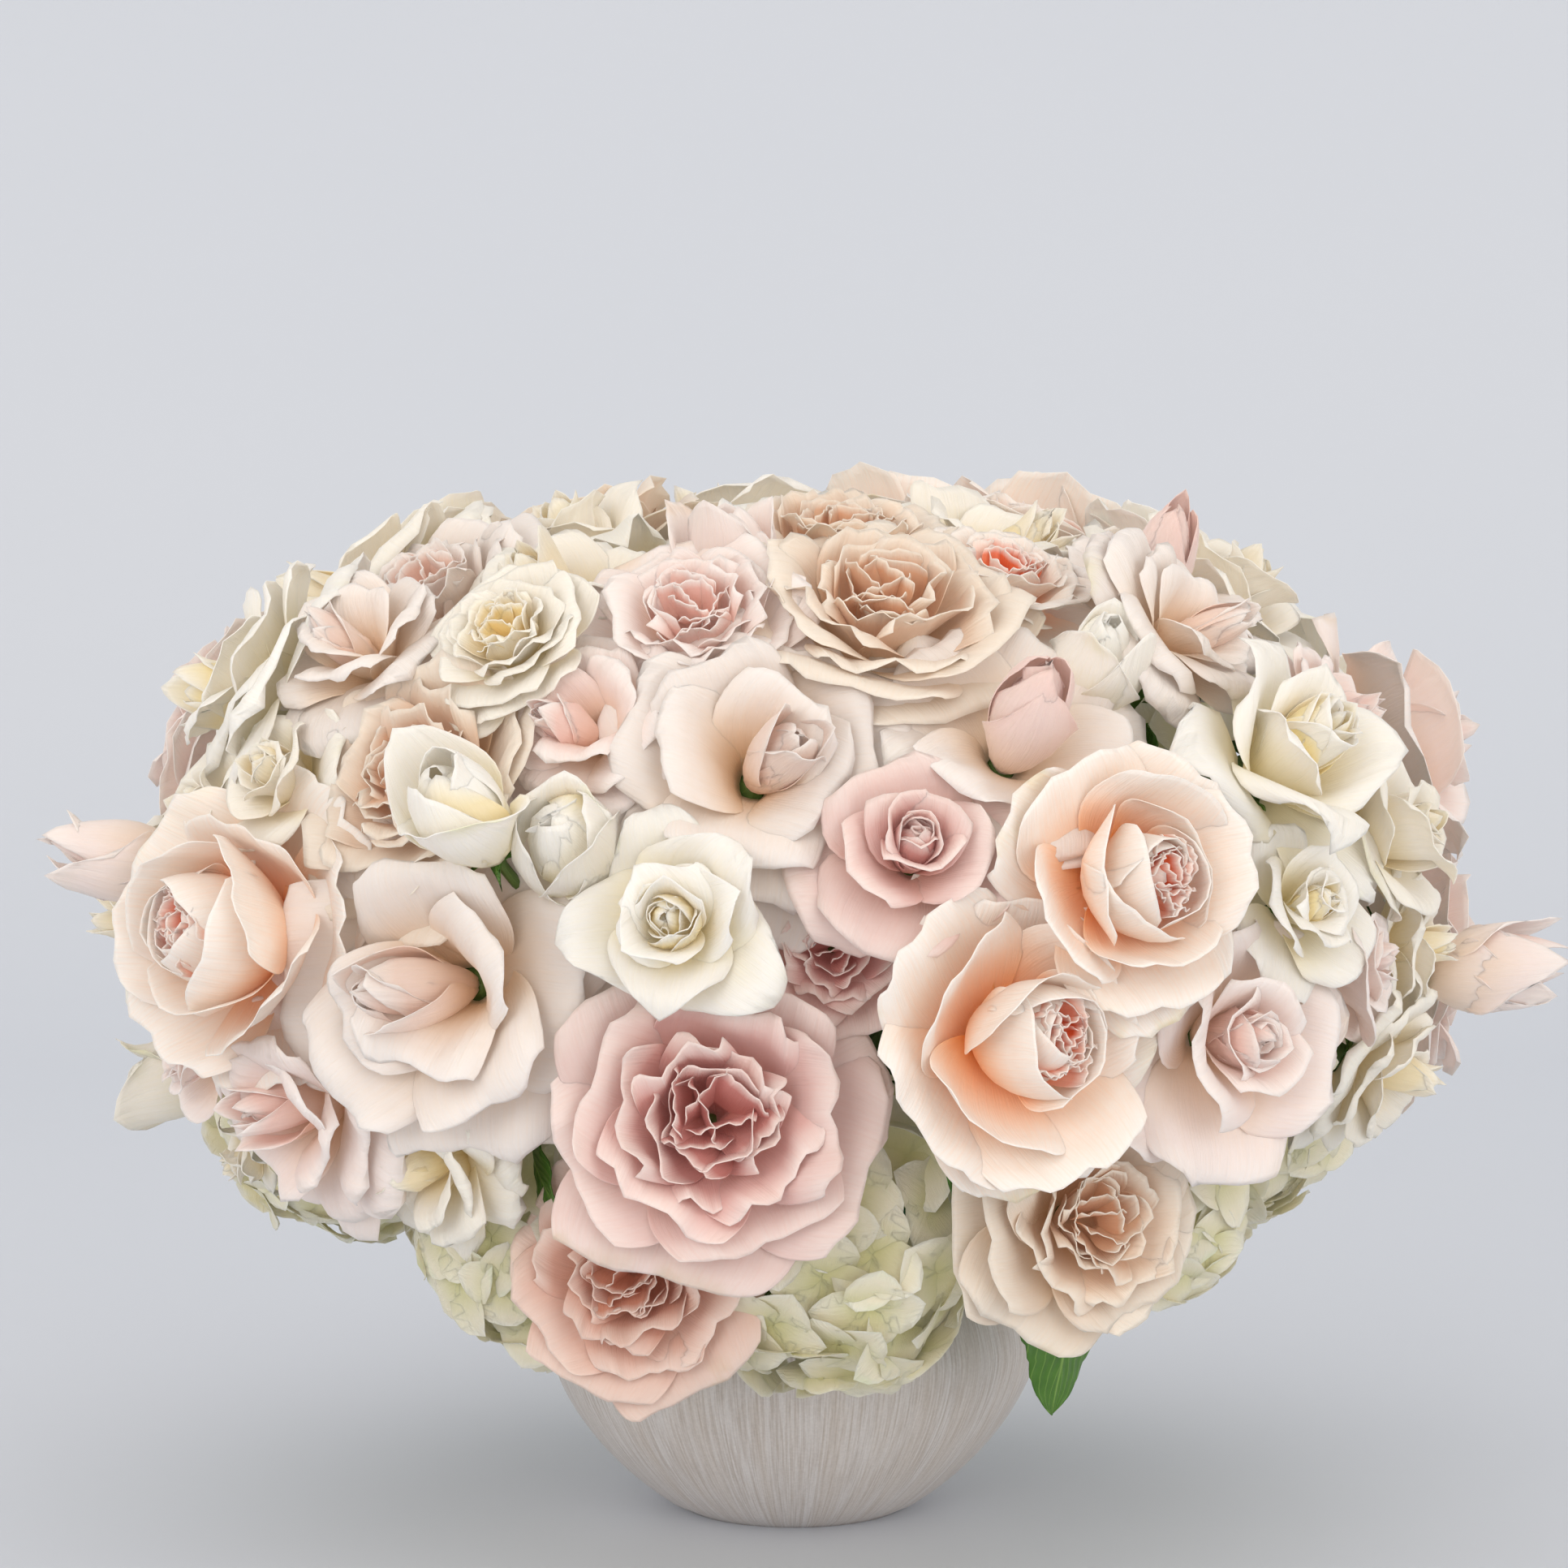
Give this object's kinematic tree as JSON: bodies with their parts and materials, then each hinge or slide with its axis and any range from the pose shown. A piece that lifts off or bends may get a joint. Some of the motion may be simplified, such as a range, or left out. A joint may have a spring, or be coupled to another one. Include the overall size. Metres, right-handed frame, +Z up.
{
  "type": "floral table centerpiece",
  "caption": "Low domed arrangement of garden roses, spray roses and hydrangeas in a round combed ceramic bowl, standing in soaked floral foam.",
  "frame": {"origin": "centre of the bowl's flat foot, on the surface that it stands on", "axes": "+Z up; -Y is the front that the arrangement is shown from; +X to the right seen from the front"},
  "size_m": [0.5329, 0.4918, 0.3944],
  "materials": {
    "ceramic": "matt off-white slip, combed from foot to rim",
    "foam": "wet fine-celled foam",
    "petal_white": "soft white petals with green-cream bases",
    "petal_cream": "soft cream-yellow petals",
    "petal_blush": "soft pale pink petals",
    "petal_peach": "cream petals with an apricot and coral heart",
    "petal_beige": "soft beige-pink petals",
    "petal_mauve": "dusty mauve petals with pale rims",
    "petal_hydrangea": "thin pale green-white florets",
    "leaf_green": "satin deep green leaf"
  },
  "bodies": {
    "root": {"bowl": "ceramic", "floral_foam": "foam", "rose_mauve_front": "petal_mauve", "rose_dusty_low_left": "petal_beige", "rose_cream_peach_front": "petal_peach", "spray_peach_right": "petal_peach", "spray_blush_spiral_right": "petal_blush", "rose_beige_low_right": "petal_beige", "spray_mauve_middle": "petal_mauve", "rose_white_spiral": "petal_white", "spray_white_middle_left": "petal_white", "rose_reflexed_middle": "petal_white", "rose_reflexed_pink_bud": "petal_white", "rose_cream_top": "petal_beige", "spray_beige_top": "petal_beige", "spray_peach_top_right": "petal_peach", "rose_blush_bud_top_right": "petal_blush", "spray_blush_fold_right": "petal_blush", "rose_white_right": "petal_white", "rose_cream_right": "petal_cream", "spray_blush_right": "petal_blush", "spray_cream_far_right": "petal_cream", "rose_drooping_right": "petal_cream", "spray_pink_upper": "petal_blush", "rose_cream_top_left": "petal_cream", "rose_blush_top_left": "petal_blush", "spray_blush_left": "petal_blush", "rose_white_back_left": "petal_white", "rose_beige_left": "petal_beige", "spray_cream_left": "petal_cream", "rose_peach_left": "petal_peach", "rose_reflexed_left": "petal_white", "spray_blush_low_left": "petal_blush", "rose_cream_low_left": "petal_cream", "spray_pink_far_left": "petal_blush", "spray_dusty_bud_left": "petal_blush", "spray_blush_side_right": "petal_blush", "spray_cream_side_right": "petal_cream", "spray_white_back_right": "petal_white", "spray_beige_back_low": "petal_beige", "spray_peach_back_top": "petal_peach", "spray_blush_back": "petal_blush", "spray_white_crown": "petal_white", "spray_peach_back_low": "petal_peach", "spray_beige_back_left": "petal_beige", "spray_blush_side_left": "petal_blush", "spray_cream_side_left": "petal_cream", "hydrangea_front": "petal_hydrangea", "hydrangea_front_left": "petal_hydrangea", "hydrangea_front_right": "petal_hydrangea", "hydrangea_side_right": "petal_hydrangea", "hydrangea_back_right": "petal_hydrangea", "hydrangea_back_low": "petal_hydrangea", "hydrangea_back_left": "petal_hydrangea", "hydrangea_side_left": "petal_hydrangea", "hydrangea_back_upper_right": "petal_hydrangea", "hydrangea_back_upper_left": "petal_hydrangea", "leaf_low_right": "leaf_green", "leaf_back_left": "leaf_green", "leaf_back": "leaf_green"}
  },
  "joints": []
}
